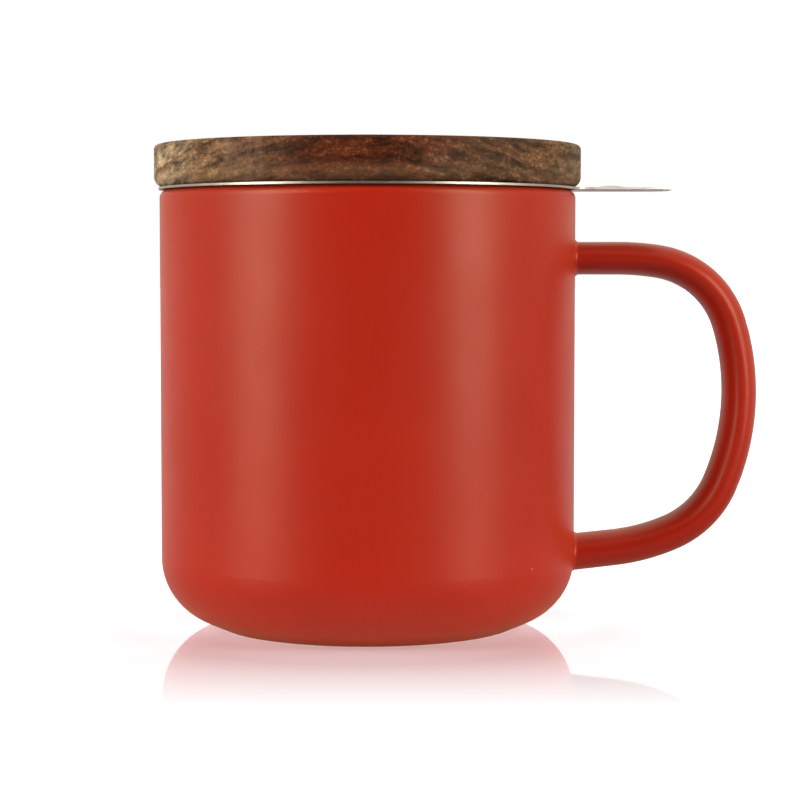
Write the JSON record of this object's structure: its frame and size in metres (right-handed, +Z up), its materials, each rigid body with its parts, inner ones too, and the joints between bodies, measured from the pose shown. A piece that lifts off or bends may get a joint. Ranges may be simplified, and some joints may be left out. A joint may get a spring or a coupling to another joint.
{
  "type": "tea infuser mug",
  "caption": "Straight-sided glazed mug with a strap handle, a hanging slotted steel tea infuser with a finger tab, and a loose round wooden lid with a silicone seal.",
  "frame": {"origin": "centre of the foot ring, on the surface the mug stands on, on the mug's axis", "axes": "+Z up along the mug's axis, +X towards the handle and the infuser's finger tab, +Y away from the viewer of the picture"},
  "size_m": [0.1279, 0.0902, 0.1018],
  "materials": {
    "red_glaze": "satin red glaze",
    "steel": "brushed stainless sheet",
    "lid_wood": "oiled brown acacia, open grain",
    "silicone": "pale matte silicone"
  },
  "bodies": {
    "mug": {"mug_body": "red_glaze", "mug_handle": "red_glaze"},
    "infuser": {"infuser_rim": "steel", "infuser_wall": "steel", "infuser_floor": "steel"},
    "lid": {"lid_disc": "lid_wood", "lid_seal": "silicone"}
  },
  "joints": [
    {"name": "infuser_lift", "type": "slide", "parent": "mug", "child": "infuser", "axis": [0, 0, 1], "range_m": [0, 0.09]},
    {"name": "lid_lift", "type": "slide", "parent": "infuser", "child": "lid", "axis": [0, 0, 1], "range_m": [0, 0.05]}
  ]
}
